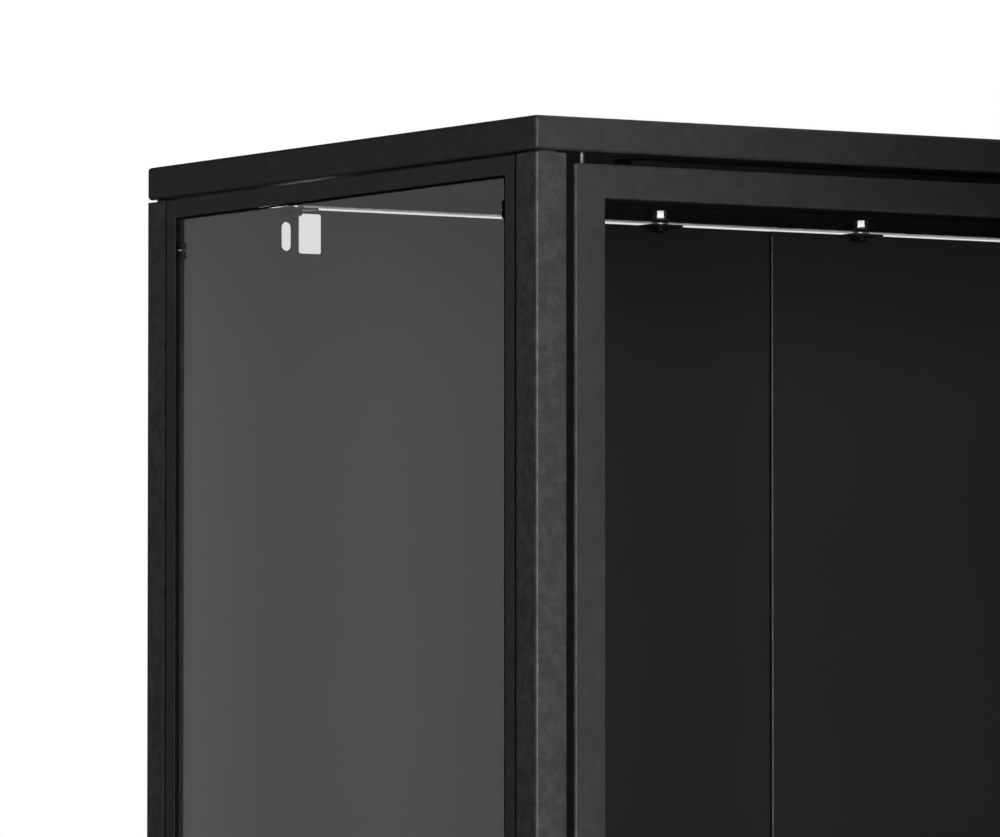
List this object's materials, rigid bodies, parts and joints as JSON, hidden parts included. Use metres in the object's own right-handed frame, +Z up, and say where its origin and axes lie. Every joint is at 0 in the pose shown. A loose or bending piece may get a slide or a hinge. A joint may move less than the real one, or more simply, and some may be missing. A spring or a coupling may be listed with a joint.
{
  "type": "china cabinet",
  "caption": "Tall steel-framed display cabinet with glazed sides, glass shelves and glass doors that turn on pivot pins.",
  "frame": {"origin": "on the floor, under the middle of the cabinet's frame", "axes": "+Z up, -Y out of the front (the doors), +X to the right seen from the front"},
  "size_m": [0.8, 0.4213, 1.8],
  "materials": {
    "powder_coat": "matt black powder coat",
    "sheet_steel": "matt black powder coat",
    "clear_glass": "clear tempered glass",
    "black_rubber": "matt",
    "zinc_steel": "bright zinc",
    "black_nylon": "matt",
    "catch_body": "satin"
  },
  "bodies": {
    "cabinet": {"back_sheet_left": "sheet_steel", "back_sheet_right": "sheet_steel", "bottom_panel": "sheet_steel", "door_stop": "sheet_steel", "foot_front_left": "black_nylon", "foot_front_right": "black_nylon", "foot_rear_left": "black_nylon", "foot_rear_right": "black_nylon", "magnetic_catch_left": "catch_body", "magnetic_catch_right": "catch_body", "pivot_bush_left": "black_nylon", "pivot_bush_right": "black_nylon", "pivot_pin_bottom_left": "zinc_steel", "pivot_pin_bottom_right": "zinc_steel", "pivot_pin_top_left": "zinc_steel", "pivot_pin_top_right": "zinc_steel", "post_front_left": "powder_coat", "post_front_right": "powder_coat", "post_rear_left": "powder_coat", "post_rear_right": "powder_coat", "shelf_1": "clear_glass", "shelf_2": "clear_glass", "shelf_3": "clear_glass", "shelf_rail_1_left": "powder_coat", "shelf_rail_1_right": "powder_coat", "shelf_rail_2_left": "powder_coat", "shelf_rail_2_right": "powder_coat", "shelf_rail_3_left": "powder_coat", "shelf_rail_3_right": "powder_coat", "side_clip_left_front_bottom": "black_rubber", "side_clip_left_front_top": "black_rubber", "side_clip_left_rear_bottom": "black_rubber", "side_clip_left_rear_top": "black_rubber", "side_clip_right_front_bottom": "black_rubber", "side_clip_right_front_top": "black_rubber", "side_clip_right_rear_bottom": "black_rubber", "side_clip_right_rear_top": "black_rubber", "side_frame_left": "powder_coat", "side_frame_right": "powder_coat", "side_glass_left": "clear_glass", "side_glass_right": "clear_glass", "side_seal_left": "black_rubber", "side_seal_right": "black_rubber", "top_bolt_1": "zinc_steel", "top_bolt_2": "zinc_steel", "top_bolt_3": "zinc_steel", "top_bolt_4": "zinc_steel", "top_panel": "sheet_steel", "top_plug_front_left": "black_nylon", "top_plug_front_right": "black_nylon", "top_plug_rear_left": "black_nylon", "top_plug_rear_right": "black_nylon"},
    "door_left": {"door_frame_left": "powder_coat", "door_glass_left": "clear_glass", "door_knob_left": "powder_coat", "door_seal_left": "black_rubber"},
    "door_right": {"door_frame_right": "powder_coat", "door_glass_right": "clear_glass", "door_knob_right": "powder_coat", "door_seal_right": "black_rubber"}
  },
  "joints": [
    {"name": "door_left_hinge", "type": "hinge", "parent": "cabinet", "child": "door_left", "pos_m": [-0.367, -0.1935, 0.95], "axis": [0, 0, -1], "range_deg": [0, 110]},
    {"name": "door_right_hinge", "type": "hinge", "parent": "cabinet", "child": "door_right", "pos_m": [0.367, -0.1935, 0.95], "axis": [0, 0, 1], "range_deg": [0, 110]}
  ]
}
